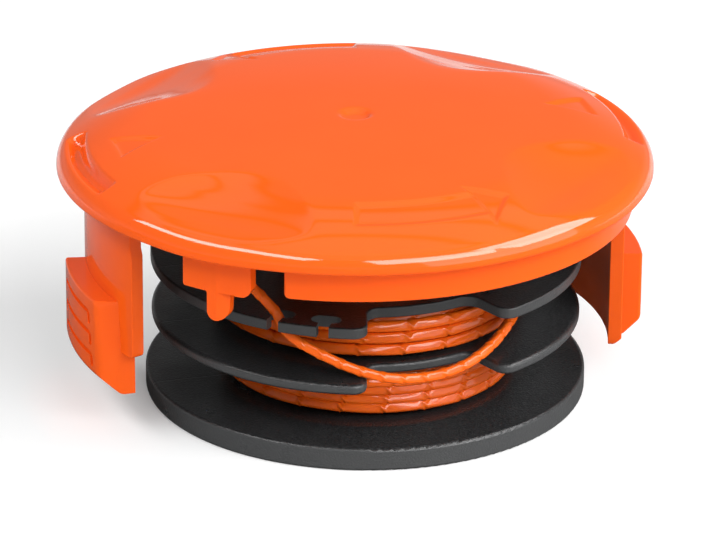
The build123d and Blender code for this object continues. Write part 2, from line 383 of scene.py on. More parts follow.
def strandProfile(tree, side, cornerRound):
    square = put(tree, "GeometryNodeCurvePrimitiveQuadrilateral", {"Width": side, "Height": side})
    rounded = put(tree, "GeometryNodeFilletCurve", {
        "Curve": square.outputs["Curve"], "Count": strandShape["cornerPoints"], "Radius": cornerRound,
    }, mode="POLY")
    return rounded.outputs["Curve"]


def twistedStrand(tree, given, curve, quarters):
    level = put(tree, "GeometryNodeSetCurveNormal", {"Curve": curve}, mode="Z_UP")
    twist = put(tree, "GeometryNodeGroup", node_tree=twistGroup)
    feed(tree, twist, {"Quarters": quarters, "Knuckle": given.outputs["Knuckle"]})
    sway = swayNoise(tree, quarters, strandShape["swayScale"], 0.0, given.outputs["Sway"])
    lean = math2(tree, "ADD", given.outputs["Lean"], sway)
    tilted = put(tree, "GeometryNodeSetCurveTilt", {
        "Curve": level.outputs["Curve"], "Tilt": math2(tree, "ADD", twist.outputs["Tilt"], lean)})
    profile = strandProfile(tree, given.outputs["Side"], given.outputs["Corner Round"])
    tube = put(tree, "GeometryNodeCurveToMesh",
               {"Curve": tilted.outputs["Curve"], "Profile Curve": profile, "Fill Caps": True})
    return tube.outputs["Mesh"]


# free line end, along its route

freeLine = {
    "route": [  # mm, the same points as the part's own cord
        (22.2, -9.9, 15.9), (21.3, -13.8, 15.9), (18.9, -19.3, 14.7), (16.3, -22.9, 13.8),
        (13.5, -25.3, 13.0), (9.7, -27.2, 12.5), (5.3, -28.5, 12.6), (2.3, -29.1, 13.2),
        (-2.0, -29.2, 14.5), (-6.4, -28.7, 16.5), (-9.9, -27.9, 18.2), (-11.8, -27.1, 19.9),
        (-12.6, -26.6, 21.9), (-14.1, -25.9, 23.4), (-16.1, -25.1, 25.2), (-18.0, -24.3, 26.9),
    ],
    "routeSteps": 24,
    "side": 1.42,
    "cornerRound": 0.46,
    "quarterTurn": 3.1,  # mm of line from one corner to the next
    "knuckle": 0.5,  # share of that length in which it turns
    "lean": 25.0,  # degrees by which its flats look up
    "sway": 10.0,
    "diameter": 1.5,
}


def makeFreeLine():
    size = freeLine
    curve = bpy.data.curves.new("lineRoute", "CURVE")
    curve.dimensions = "3D"
    curve.resolution_u = size["routeSteps"]
    spline = curve.splines.new("NURBS")
    spline.points.add(len(size["route"]) - 1)
    for point, place in zip(spline.points, size["route"]):
        point.co = (*(Vector(place) * mm), 1)
    spline.order_u = 3
    spline.use_endpoint_u = True
    route = newObject("lineRoute", curve)
    graph = bpy.context.evaluated_depsgraph_get()
    strand = newObject("free_line", bpy.data.meshes.new_from_object(route.evaluated_get(graph)))
    bpy.data.objects.remove(route)

    tree, given = newTree("twistedLine", [
        "Side", "Corner Round", "Quarter Turn", "Knuckle", "Lean", "Sway"])
    line = put(tree, "GeometryNodeMeshToCurve", {"Mesh": given.outputs["Geometry"]}).outputs["Curve"]
    along = put(tree, "GeometryNodeSplineParameter").outputs["Length"]
    quarters = math2(tree, "DIVIDE", along, given.outputs["Quarter Turn"])
    endTree(tree, given, twistedStrand(tree, given, line, quarters))
    runTree(strand, tree, {
        "Side": size["side"] * mm, "Corner Round": size["cornerRound"] * mm,
        "Quarter Turn": size["quarterTurn"] * mm, "Knuckle": size["knuckle"],
        "Lean": math.radians(size["lean"]), "Sway": math.radians(size["sway"]), "Material": lineNylon,
    })
    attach(strand, "root")
    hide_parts("line_end")


makeFreeLine()


# wound line: two layers of turns on a core, one piece for each chamber

wound = {
    "side": 1.62,
    "cornerRound": 0.46,
    "marksPerTurn": 22.07,
    "knuckle": 0.22,
    "lean": 24.0,
    "sway": 30.0,
    "wander": 0.7,
    "wanderScale": 2.3,
    "wanderApart": 40.0,  # keeps the sway up apart from the sway outwards
    "pointsPerTurn": 264,
    "halfRoom": 0.62,  # half the room of a strand, in sides
    "layerStep": 0.8,  # from the outer layer in to the inner one, in sides
    "innerLess": 0.45,  # turns fewer in the inner layer
    "innerSeed": 17.0,
    "coreStep": 0.3,  # from the inner layer in to the core's face, in sides
    "coreSteps": 120,
    "hubRadius": 12.0,
    "hubClear": 0.15,
    "chambers": {
        "upper_winding": {"node": "upper_line", "turns": 2.75, "seed": 3.0},
        "lower_winding": {"node": "lower_line", "turns": 4.1, "seed": 11.0},
    },
}


def windingLayer(tree, given, radius, low, height, turns, seed):
    spiral = put(tree, "GeometryNodeCurveSpiral", {
        "Resolution": wound["pointsPerTurn"], "Rotations": turns, "Start Radius": radius,
        "End Radius": radius, "Height": height,
    })
    factor = put(tree, "GeometryNodeSplineParameter").outputs["Factor"]
    where = math2(tree, "ADD", math2(tree, "MULTIPLY", factor, turns), seed)
    apart = math2(tree, "ADD", where, wound["wanderApart"])
    swayOut, swayUp = (
        swayNoise(tree, spot, wound["wanderScale"], 1.0, given.outputs["Wander"]) for spot in (where, apart))
    place = put(tree, "GeometryNodeInputPosition").outputs["Position"]
    outward = vectorMath(tree, "NORMALIZE", {0: vectorMath(tree, "MULTIPLY", {0: place, 1: (1, 1, 0)})})
    outward = vectorMath(tree, "SCALE", {0: outward, "Scale": swayOut})
    lift = put(tree, "ShaderNodeCombineXYZ", {"Z": math2(tree, "ADD", swayUp, low)}).outputs[0]
    offset = vectorMath(tree, "ADD", {0: outward, 1: lift})
    swayed = put(tree, "GeometryNodeSetPosition", {"Geometry": spiral.outputs["Curve"], "Offset": offset})
    quarters = math2(tree, "MULTIPLY", where, given.outputs["Marks Per Turn"])
    return twistedStrand(tree, given, swayed.outputs["Geometry"], quarters)


def windingCore(tree, middle, width, low, height):
    ring = put(tree, "GeometryNodeCurvePrimitiveCircle", {"Resolution": wound["coreSteps"], "Radius": middle})
    profile = put(tree, "GeometryNodeCurvePrimitiveQuadrilateral", {"Width": width, "Height": height})
    core = put(tree, "GeometryNodeCurveToMesh",
               {"Curve": ring.outputs["Curve"], "Profile Curve": profile.outputs["Curve"]})
    lift = math2(tree, "ADD", low, math2(tree, "MULTIPLY", height, 0.5))
    up = put(tree, "ShaderNodeCombineXYZ", {"Z": lift}).outputs[0]
    return put(tree, "GeometryNodeSetPosition", {"Geometry": core.outputs["Mesh"], "Offset": up}).outputs[0]


def makeWindingTree():
    tree, given = newTree("woundLine", [
        "Outer Radius", "Hub Radius", "Low", "Height", "Turns", "Side", "Corner Round",
        "Marks Per Turn", "Knuckle", "Lean", "Sway", "Wander", "Seed"])
    side, hub = given.outputs["Side"], given.outputs["Hub Radius"]
    turns, seed = given.outputs["Turns"], given.outputs["Seed"]
    half = math2(tree, "MULTIPLY", side, wound["halfRoom"])
    radius = math2(tree, "SUBTRACT", given.outputs["Outer Radius"], half)
    low = math2(tree, "ADD", given.outputs["Low"], half)
    rise = math2(tree, "SUBTRACT", given.outputs["Height"], math2(tree, "MULTIPLY", half, 2.0))
    outer = windingLayer(tree, given, radius, low, rise, turns, seed)
    innerRadius = math2(tree, "SUBTRACT", radius, math2(tree, "MULTIPLY", side, wound["layerStep"]))
    innerTurns = math2(tree, "SUBTRACT", turns, wound["innerLess"])
    innerSeed = math2(tree, "ADD", seed, wound["innerSeed"])
    inner = windingLayer(tree, given, innerRadius, low, rise, innerTurns, innerSeed)
    coreOuter = math2(tree, "SUBTRACT", innerRadius, math2(tree, "MULTIPLY", side, wound["coreStep"]))
    width = math2(tree, "SUBTRACT", coreOuter, hub)
    middle = math2(tree, "MULTIPLY", math2(tree, "ADD", coreOuter, hub), 0.5)
    core = windingCore(tree, middle, width, low, rise)
    together = put(tree, "GeometryNodeJoinGeometry")
    for part in (outer, inner, core):
        tree.links.new(part, together.inputs["Geometry"])
    endTree(tree, given, together.outputs["Geometry"])
    return tree


def makeWindings():
    tree = makeWindingTree()
    for name, chamber in wound["chambers"].items():
        low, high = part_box(chamber["node"])
        piece = newObject(name, bpy.data.meshes.new(name))
        runTree(piece, tree, {
            "Outer Radius": high.x, "Hub Radius": (wound["hubRadius"] + wound["hubClear"]) * mm,
            "Low": low.z, "Height": high.z - low.z, "Turns": chamber["turns"], "Seed": chamber["seed"],
            "Side": wound["side"] * mm, "Corner Round": wound["cornerRound"] * mm,
            "Marks Per Turn": wound["marksPerTurn"], "Knuckle": wound["knuckle"],
            "Lean": math.radians(wound["lean"]), "Sway": math.radians(wound["sway"]),
            "Wander": wound["wander"] * mm, "Material": lineNylon,
        })
        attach(piece, "root")
        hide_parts(chamber["node"])
        print(f"{name} made, {len(piece.data.polygons)} faces")


makeWindings()


# cap: domed disc with its relief, as one closed turned skin (mm until the end)

capLow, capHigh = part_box("spool_cap")
capDome = {
    "middle": (capLow.x + capHigh.x) / 2 / mm,
    "radius": (capHigh.x - capLow.x) / 2 / mm,
    "top": capHigh.z / mm,
    "turn": 15.0,  # degrees from +X to the right arm
    "flatRadius": 30.0,
    "flatDrop": 1.1,
    "rimMiddleZ": 35.25,
    "rimRound": 3.1,
    "rimAngle": 60.0,  # where the shoulder runs into the rim's bead
    "rimUnder": 34.75,
    "rimUnderRound": 0.5,
    "wall": 2.0,
    "insideRadius": 39.0,
    "markEdge": 1.0,
    "markDepth": 0.42,
    "rimSlotDepth": 1.4,
    "dimpleRadius": 2.6,
    "dimpleDepth": 0.65,
    "dimpleFlat": 0.8,  # how soon the dimple's wall turns into its floor
    "sharpAngle": 38.0,
}


def smoothCurve(points, x):  # a smooth line through a few given points
    xs, ys = (np.array(v, float) for v in zip(*points))
    slopes = np.gradient(ys, xs)
    i = np.clip(np.searchsorted(xs, x) - 1, 0, len(xs) - 2)
    h = xs[i + 1] - xs[i]
    t = np.clip((x - xs[i]) / h, 0, 1)
    a = (1 + 2 * t) * (1 - t) ** 2 * ys[i] + t * (1 - t) ** 2 * h * slopes[i]
    return a + t * t * (3 - 2 * t) * ys[i + 1] + t * t * (t - 1) * h * slopes[i + 1]


def domeShape():  # crown height, bow of the flat, shoulder's centre and radius, start of the rim's bead
    top, flat, drop = capDome["top"], capDome["flatRadius"], capDome["flatDrop"]
    bow = (flat ** 2 + drop ** 2) / (2 * drop)
    bead, angle = capDome["rimRound"], math.radians(capDome["rimAngle"])
    rimX = capDome["radius"] - bead
    rimStart = Vector((rimX + bead * math.cos(angle), capDome["rimMiddleZ"] + bead * math.sin(angle)))
    edge = Vector((flat, top - drop))
    outward = (edge - Vector((0, top - bow))).normalized()
    across = rimStart - edge
    shoulder = -across.length_squared / (2 * across.dot(outward))
    return top, bow, edge - outward * shoulder, shoulder, rimStart


def domeZ(r):  # the plain dome without its relief
    top, bow, centre, shoulder = domeShape()[:4]
    flat = top - bow + np.sqrt(bow ** 2 - np.minimum(r, bow) ** 2)
    bent = centre.y + np.sqrt(np.maximum(shoulder ** 2 - (r - centre.x) ** 2, 0))
    return np.where(r <= capDome["flatRadius"], flat, bent)


scoops = {
    "count": 4,
    "angle": 45.0,
    "apex": 26.0,
    "floor": [(-6, -1.0), (0, 0.0), (3, 0.6), (7, 1.35), (10.5, 1.5), (14, 0.75), (16.6, 0.15), (20, 0.0)],
    "sideBend": [(-6, 36), (0, 40), (18, 80), (22, 85)],
    "fade": (-6, -3),  # where a scoop comes in, along its floor
    "ridge": 0.12,  # how soft the rim of a scoop is
}


def scoopDepth(r, angle):
    step = 360 / scoops["count"]
    off = np.radians((angle - scoops["angle"] + step / 2) % step - step / 2)
    along = r * np.cos(off) - scoops["apex"]
    aside = r * np.sin(off)
    deep = smoothCurve(scoops["floor"], along) - aside ** 2 / 2 / smoothCurve(scoops["sideBend"], along)
    soft = scoops["ridge"]
    return (deep + np.sqrt(deep ** 2 + soft ** 2)) / 2 * smoothStep(*scoops["fade"], along)


def bandEdge(r, angle, inner, outer, start, end):  # distance outside an arc-shaped band
    across = np.abs(r - (inner + outer) / 2) - (outer - inner) / 2
    along = (np.abs(angle - (start + end) / 2) - (end - start) / 2) * np.pi / 180 * r
    return np.maximum(across, along)


def wedgeEdge(x, y, corners):  # distance outside a convex outline given counter-clockwise
    distance = np.full(np.shape(x), -1e9)
    for (ax, ay), (bx, by) in zip(corners, corners[1:] + corners[:1]):
        length = math.hypot(bx - ax, by - ay)
        distance = np.maximum(distance, ((x - ax) * (by - ay) - (y - ay) * (bx - ax)) / length)
    return distance


def at(radius, angle):
    return (radius * math.cos(math.radians(angle)), radius * math.sin(math.radians(angle)))


marks = {
    "press": {"tip": 29.6, "base": 35.6, "half": 3.4},
    "rimSlot": {"inner": 39.8, "floor": 40.7, "outer": 42.6, "half": 15.0},
    "arrow": {
        "inner": 32.4, "outer": 37.2, "barb": 1.8,
        "tail": -104.5, "neck": -74.5, "neckLap": 0.5, "tip": -67.0,
    },
}


def markDepth(r, angle):
    front = (angle + 90) % 180 - 90  # the same marks again half a turn on
    x, y = r * np.cos(np.radians(front)), r * np.sin(np.radians(front))
    soft = capDome["markEdge"] / 2
    press = marks["press"]
    outline = [(press["tip"], 0), (press["base"], -press["half"]), (press["base"], press["half"])]
    depth = capDome["markDepth"] * smoothStep(soft, -soft, wedgeEdge(x, y, outline))
    slot = marks["rimSlot"]
    ends = (np.abs(front) - slot["half"]) * np.pi / 180 * r
    across = smoothStep(-soft, soft, r - slot["inner"]) * smoothStep(slot["outer"], slot["floor"], r)
    depth = np.maximum(depth, capDome["rimSlotDepth"] * smoothStep(soft, -soft, ends) * across)
    arrow = marks["arrow"]
    side = angle % 180 - 180
    x, y = r * np.cos(np.radians(side)), r * np.sin(np.radians(side))
    inner, outer, neck = arrow["inner"], arrow["outer"], arrow["neck"]
    shaft = bandEdge(r, side, inner, outer, arrow["tail"], neck + arrow["neckLap"])
    head = wedgeEdge(x, y, [
        at(inner - arrow["barb"], neck), at(outer + arrow["barb"], neck),
        at((inner + outer) / 2, arrow["tip"])])
    depth = np.maximum(depth, capDome["markDepth"] * smoothStep(soft, -soft, np.minimum(shaft, head)))
    cup = np.clip(1 - (r / capDome["dimpleRadius"]) ** 2, 0, 1)
    return np.maximum(depth, capDome["dimpleDepth"] * smoothStep(0, capDome["dimpleFlat"], cup))


domeGrid = {
    "start": -110.0,
    "fineSpans": [(-106, -103), (-77, -65), (-16.5, -13.5), (-8, 8), (13.5, 16.5)],  # degrees, mark ends
    "fine": 0.26,
    "coarse": 0.62,
    "centreRings": [
        0.35, 0.8, 1.2, 1.6, 2.0, 2.4, 3.0, 4.5, 7, 10, 13, 16, 18.5, 20.5, 22, 23.2, 24.2, 25.1],
    "ringStart": 25.9,
    "ringStep": 0.26,
    "rimSteps": 12,
    "underRings": [42.0, 40.5],
    "insideStep": 1.0,
    "insideRings": [38.6, 37.5, 36, 34, 31, 28, 24, 18, 12, 6],
}


def gridAngles():  # half a turn, closer where marks end, and then the same again
    start = domeGrid["start"]
    angles = [start]
    while angles[-1] < start + 180:
        here = angles[-1]
        fine = any(a <= here < b for a, b in domeGrid["fineSpans"])
        angles.append(here + (domeGrid["fine"] if fine else domeGrid["coarse"]))
    half = start + (np.array(angles[:-1]) - start) * 180 / (angles[-1] - start)
    return np.concatenate([half, half + 180])


def domeRings():  # a radius with "top", "inside" or a height, from the crown round the rim and back
    radius, bead, under = capDome["radius"], capDome["rimRound"], capDome["rimUnderRound"]
    rimX, rimStart, steps = radius - bead, domeShape()[4], domeGrid["rimSteps"]
    rings = [(r, "top") for r in domeGrid["centreRings"]]
    count = int((rimStart.x - domeGrid["ringStart"]) / domeGrid["ringStep"])
    rings += [(r, "top") for r in np.linspace(domeGrid["ringStart"], rimStart.x, count)]
    for angle in np.linspace(math.radians(capDome["rimAngle"]), 0, steps)[1:]:
        rings.append((rimX + bead * math.cos(angle), capDome["rimMiddleZ"] + bead * math.sin(angle)))
    for angle in np.linspace(0, -math.pi / 2, steps):
        rings.append((radius - under + under * math.cos(angle),
                      capDome["rimUnder"] + under + under * math.sin(angle)))
    inside = capDome["insideRadius"]
    rings += [(r, capDome["rimUnder"]) for r in (*domeGrid["underRings"], inside)]
    rings.append((inside, capDome["rimUnder"] + domeGrid["insideStep"]))
    return rings + [(r, "inside") for r in domeGrid["insideRings"]]


def makeDomeSkin():
    angles = gridAngles()
    turned = np.radians(angles + capDome["turn"])
    rimStart = domeShape()[4]
    rows = []
    for r, kind in domeRings():
        here = np.full(angles.shape, float(r))
        scoop = scoopDepth(np.minimum(here, rimStart.x), angles)
        if kind == "top":
            z = domeZ(here) - scoop - markDepth(here, angles)
        elif kind == "inside":
            z = domeZ(here) - scoop - capDome["wall"]
        else:
            z = kind - scoop
        rows.append(np.stack([capDome["middle"] + r * np.cos(turned), r * np.sin(turned), z], 1))
    count = len(angles)
    crown = domeZ(np.zeros(1))[0]
    verts = np.concatenate(rows + [[[capDome["middle"], 0, crown - capDome["dimpleDepth"]]],
                                   [[capDome["middle"], 0, crown - capDome["wall"]]]])
    faces = []
    last = len(rows) - 1
    for ring in range(last):
        a, b = ring * count, (ring + 1) * count
        for i in range(count):
            j = (i + 1) % count
            faces.append((a + i, b + i, b + j, a + j))
    crownTop, crownUnder = len(verts) - 2, len(verts) - 1
    for i in range(count):
        j = (i + 1) % count
        faces.append((crownTop, i, j))
        faces.append((crownUnder, last * count + j, last * count + i))
    mesh = bpy.data.meshes.new("capDome")
    mesh.from_pydata(verts.tolist(), [], faces)
    return newObject("capDome", mesh)


# cap: walls made flat as (along the arc, outwards, up), then bent round the cap's axis

walls = {
    "past": 1.0,  # how far a cutter reaches past what it cuts
    "pastEnds": (3.0, 5.0),  # and along the arc, at its start and its end
    "arcSteps": 6,
    "bevelSteps": 3,
    "bevelAngle": 35.0,
    "bendStep": 1.2,
    "bendMerge": 0.0005,
}
past = walls["past"]
pastStart, pastEnd = walls["pastEnds"]


def roundedOutline(corners):  # (x, y, radius) corners to a point list with arcs
    points = []
    steps = walls["arcSteps"]
    for i, (x, y, radius) in enumerate(corners):
        here = Vector((x, y))
        if radius == 0:
            points.append(here)
            continue
        before = (Vector(corners[i - 1][:2]) - here).normalized()
        after = (Vector(corners[(i + 1) % len(corners)][:2]) - here).normalized()
        half = before.angle(after) / 2
        centre = here + (before + after).normalized() * (radius / math.sin(half))
        start = here + before * (radius / math.tan(half)) - centre
        end = here + after * (radius / math.tan(half)) - centre
        sweep = start.angle_signed(end)
        for step in range(steps + 1):
            points.append(centre + Matrix.Rotation(-sweep * step / steps, 2) @ start)
    return points


def loft(name, rings, loop=False):  # rings of points joined one after the other, with end caps or in a loop
    bm = bmesh.new()
    rows = [[bm.verts.new(p) for p in ring] for ring in rings]
    if loop:
        rows.append(rows[0])
    else:
        bm.faces.new(rows[0])
        bm.faces.new(rows[-1])
    for a, b in zip(rows, rows[1:]):
        for i in range(len(a)):
            j = (i + 1) % len(a)
            bm.faces.new((a[i], a[j], b[j], b[i]))
    bmesh.ops.recalc_face_normals(bm, faces=bm.faces)
    mesh = bpy.data.meshes.new(name)
    bm.to_mesh(mesh)
    bm.free()
    return newObject(name, mesh)


def prism(name, outline, low, high):  # an outline in (along, up) run outwards
    return loft(name, [[(p.x, level, p.y) for p in outline] for level in (low, high)])


def risingPrism(name, outline, low, high):  # an outline in (along, outwards) run up
    return loft(name, [[(p.x, p.y, level) for p in outline] for level in (low, high)])


def sideways(name, outline, start, end):  # an outline in (outwards, up) run along the arc
    piece = prism(name, outline, start, end)
    swap = Matrix(((0, 1, 0, 0), (1, 0, 0, 0), (0, 0, 1, 0), (0, 0, 0, 1)))
    piece.data.transform(swap)
    piece.data.flip_normals()
    return piece


def combine(piece, others, operation="UNION", solver="EXACT"):
    for other in others:
        modifier = piece.modifiers.new("join", "BOOLEAN")
        modifier.operation = operation
        modifier.solver = solver
        modifier.object = other
    bake(piece)
    for other in others:
        bpy.data.objects.remove(other)
    return piece


def softenEdges(piece, width):
    modifier = piece.modifiers.new("soft edges", "BEVEL")
    modifier.width = width
    modifier.segments = walls["bevelSteps"]
    modifier.limit_method = "ANGLE"
    modifier.angle_limit = math.radians(walls["bevelAngle"])
    return bake(piece)


def bendRound(piece, radius, angle):
    bm = bmesh.new()
    bm.from_mesh(piece.data)
    along = [v.co.x for v in bm.verts]
    step = walls["bendStep"]
    cut = math.floor(min(along) / step) * step
    while cut < max(along):
        bmesh.ops.bisect_plane(bm, geom=bm.verts[:] + bm.edges[:] + bm.faces[:],
                               plane_co=(cut, 0, 0), plane_no=(1, 0, 0), dist=walls["bendMerge"])
        cut += step
    for v in bm.verts:
        x, y, z = v.co
        turn = x / radius + math.radians(angle + capDome["turn"])
        v.co = (capDome["middle"] + (radius + y) * math.cos(turn), (radius + y) * math.sin(turn), z)
    bmesh.ops.reverse_faces(bm, faces=bm.faces)  # the flat axes are a mirror image of the bent ones
    bm.to_mesh(piece.data)
    bm.free()
    return piece


def arc(radius, angle):  # degrees to arc length
    return radius * math.radians(angle)


skirt = {
    "radius": 41.0, "wall": 2.0, "start": -118.8, "end": -17.0, "bottom": 29.7, "root": 35.6,
    "corner": 0.8, "edge": 0.35,
}


def makeSkirt(side):
    middle = (skirt["start"] + skirt["end"]) / 2
    half = arc(skirt["radius"], (skirt["end"] - skirt["start"]) / 2)
    outline = roundedOutline([
        (-half, skirt["bottom"], skirt["corner"]), (half, skirt["bottom"], skirt["corner"]),
        (half, skirt["root"], 0), (-half, skirt["root"], 0)])
    wall = softenEdges(prism("skirt", outline, -skirt["wall"], 0), skirt["edge"])
    return bendRound(wall, skirt["radius"], middle + 180 * side)


tabs = {
    "radius": 41.0, "wall": 2.0, "start": -141.0, "end": -125.6, "bottom": 29.0, "root": 35.6,
    "startRound": 0.4, "endRound": 1.5, "edge": 0.25,
    "fingerStart": -135.3, "fingerEnd": -130.5, "fingerBottom": 24.7, "fingerTaper": 0.2,
    "fingerRoot": 0.3, "fingerRounds": (1.3, 2.0),  # left and right of the tip
    "facetWidth": 1.9, "facetReach": 1.0, "facetDepth": 1.2, "facetLap": 0.1,
}


def makeTab(side):
    r, bottom, tip = tabs["radius"], tabs["bottom"], tabs["fingerBottom"]
    middle = (tabs["start"] + tabs["end"]) / 2
    left, right, fingerLeft, fingerRight = (
        arc(r, tabs[key] - middle) for key in ("start", "end", "fingerStart", "fingerEnd"))
    tipLeft, tipRight = tabs["fingerRounds"]
    outline = roundedOutline([
        (left, bottom, tabs["startRound"]), (fingerLeft, bottom, tabs["fingerRoot"]),
        (fingerLeft, tip, tipLeft), (fingerRight - tabs["fingerTaper"], tip, tipRight),
        (fingerRight, bottom, tabs["fingerRoot"]), (right, bottom, tabs["endRound"]),
        (right, tabs["root"], 0), (left, tabs["root"], 0)])
    wall = prism("tab", outline, -tabs["wall"], 0)
    facetStart, facetEnd = fingerRight - tabs["facetWidth"], fingerRight + tabs["facetReach"]
    facet = roundedOutline([
        (facetStart, 0, 0), (facetEnd, -tabs["facetDepth"], 0), (facetEnd, past, 0), (facetStart, past, 0)])
    combine(wall, [risingPrism("facet", facet, tip - past, bottom + tabs["facetLap"])], "DIFFERENCE")
    softenEdges(wall, tabs["edge"])
    return bendRound(wall, r, middle + 180 * side)


arm = {
    "radius": 39.85, "wall": 2.0, "start": -20.0, "end": 17.0, "root": 36.5,
    "bottoms": (7.1, 6.1),  # right and left arm
    "corner": 1.2, "edge": 0.45, "footChamfer": 1.3,
    "lipEnd": 21.5, "lipStep": 0.4, "lipStepTop": 30.2, "lipSlope": 1.0, "lipBottom": 13.3, "lipCorner": 0.9,
}


def makeArm(side):
    r, bottom, chamfer = arm["radius"], arm["bottoms"][side], arm["footChamfer"]
    start, end, lip = (arc(r, arm[key]) for key in ("start", "end", "lipEnd"))
    step, stepTop = lip + arm["lipStep"], arm["lipStepTop"]
    plate = prism("arm", roundedOutline([
        (start, bottom, arm["corner"]), (end, bottom, arm["corner"]), (end, arm["lipBottom"], 0),
        (step, arm["lipBottom"], arm["lipCorner"]), (step, stepTop - arm["lipSlope"], 0), (lip, stepTop, 0),
        (lip, arm["root"], 0), (start, arm["root"], 0)]), -arm["wall"], 0)
    foot = roundedOutline([
        (-chamfer - past, bottom - past, 0), (past, bottom - past, 0), (past, bottom + chamfer + past, 0)])
    combine(plate, [sideways("foot", foot, start - pastStart, lip + pastEnd)], "DIFFERENCE")
    softenEdges(plate, arm["edge"])
    combine(plate, [makeGrip(side)])
    return bendRound(plate, r, 180 * side)


grip = {
    "starts": (-14.0, -9.6), "tops": (20.4, 21.0), "bottoms": (7.3, 6.8),  # right and left grip
    "end": 14.1, "endInner": 18.3, "lean": 1.8, "leanTop": 0.1, "leanInner": 0.1,
    "stand": 2.9, "backStart": 0.3, "backEnd": 0.05,  # the back lies this far inside the arm's wall
    "chamfer": 2.8, "round": 1.5, "topRound": 0.3, "startRound": 0.5,
    "endRounds": (2.04, 1.2),  # at the foot and at the top
    "topBevel": 0.75, "topBevelIn": 0.45, "edge": 0.3,
    "grooves": 3, "grooveFirst": 2.65, "groovePitch": 3.2, "grooveWidth": 0.7, "grooveDepth": 0.5,
    "grooveTurn": 1.5, "grooveFlare": 0.2, "grooveMargin": 2.1, "grooveRound": 0.3, "grooveEndRound": 1.1,
    "grooveEdge": 0.12,
}


def makeGrooves(start, end, top, foot):  # channels whose ends turn down
    width, turn, flare = grip["grooveWidth"], grip["grooveTurn"], grip["grooveFlare"]
    small, large = grip["grooveRound"], grip["grooveEndRound"]
    grooves = []
    for i in range(grip["grooves"]):
        z = top - grip["grooveFirst"] - grip["groovePitch"] * i
        lean = grip["lean"] * (top - z) / (top - foot)
        a, b = start + grip["grooveMargin"], end + lean - grip["grooveMargin"]
        path = roundedOutline([
            (a, z + width, large), (a, z - turn, small), (a + width, z - turn, small), (a + width, z, small),
            (b - width, z, small), (b - width + flare, z - turn, small), (b + flare, z - turn, small),
            (b, z + width, large)])
        grooves.append(prism("groove", path, grip["stand"] - grip["grooveDepth"], grip["stand"] + past))
    return grooves


def makeGrip(side):
    r, wall, stand = arm["radius"], arm["wall"], grip["stand"]
    start, top, foot = arc(r, grip["starts"][side]), grip["tops"][side], grip["bottoms"][side]
    end, inner = arc(r, grip["end"]), arc(r, grip["endInner"])
    footRound, topRound = grip["endRounds"]
    levels = [
        (foot, grip["lean"], footRound), (top - grip["topBevel"], grip["leanTop"], topRound),
        (top, -grip["topBevelIn"], topRound)]
    rings = []
    for z, lean, corner in levels:
        plan = roundedOutline([
            (start, grip["backStart"] - wall, 0), (start, stand, grip["startRound"]),
            (end + lean, stand, corner), (inner + grip["leanInner"] * lean, grip["backEnd"] - wall, 0)])
        rings.append([(p.x, p.y, z) for p in plan])
    block = loft("grip", rings)
    profile = roundedOutline([
        (-wall - past, foot, 0), (stand - grip["chamfer"], foot, grip["round"]),
        (stand, foot + grip["chamfer"], grip["round"]), (stand, top, grip["topRound"]),
        (-wall - past, top, 0)])
    combine(block, [sideways("profile", profile, start - pastStart, inner + pastEnd)], "INTERSECT")
    softenEdges(block, grip["edge"])
    combine(block, makeGrooves(start, end, top, foot), "DIFFERENCE")
    return softenEdges(block, grip["grooveEdge"])


boss = {
    "radius": 11.5, "wall": 2.0, "sides": 72, "topSink": 1.2,
    "ribs": 8, "ribWidth": 1.4, "ribReach": 26.0, "ribBottom": 34.4, "ribRise": 2.5, "ribLap": 0.6,
    "ribTops": (1.4, 2.2),  # below the crown, at the boss and at the rib's end
}


def makeBoss():
    low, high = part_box("line_spool")[1].z / mm, capDome["top"] - boss["topSink"]
    outer, inner = boss["radius"], boss["radius"] - boss["wall"]
    turns = np.linspace(0, 2 * math.pi, boss["sides"], endpoint=False)
    tube = loft("boss", [
        [(capDome["middle"] + r * math.cos(a), r * math.sin(a), z) for a in turns]
        for r, z in ((outer, low), (outer, high), (inner, high), (inner, low))], loop=True)
    start, end, bottom = outer - boss["ribLap"], boss["ribReach"], boss["ribBottom"]
    startTop, endTop = (capDome["top"] - drop for drop in boss["ribTops"])
    outline = roundedOutline([
        (start, bottom, 0), (end, bottom + boss["ribRise"], 0), (end, endTop, 0), (start, startTop, 0)])
    half = boss["ribWidth"] / 2
    ribs = []
    for i in range(boss["ribs"]):
        rib = prism("rib", outline, -half, half)
        turn = math.radians(360 / boss["ribs"] * (i + 0.5) + capDome["turn"])
        rib.data.transform(Matrix.Translation((capDome["middle"], 0, 0)) @ Matrix.Rotation(turn, 4, "Z"))
        ribs.append(rib)
    return combine(tube, ribs)


insideFaces = {
    "inwards": 0.4, "mostUp": 0.5, "below": 40.0,  # faces that look at the axis
    "down": -0.6, "within": 41.3, "above": 30.0,  # faces that look down, inside the rim
}


def insideShare(face):  # 1 on the faces that look at the axis or down, 0 on the polished outside
    limit, facing, z = insideFaces, face.normal, face.center.z
    out = Vector((face.center.x - capDome["middle"], face.center.y, 0))
    inwards = -facing.dot(out.normalized()) > limit["inwards"]
    inwards = inwards and facing.z < limit["mostUp"] and z < limit["below"]
    under = facing.z < limit["down"] and out.length < limit["within"] and z > limit["above"]
    return float(inwards or under)


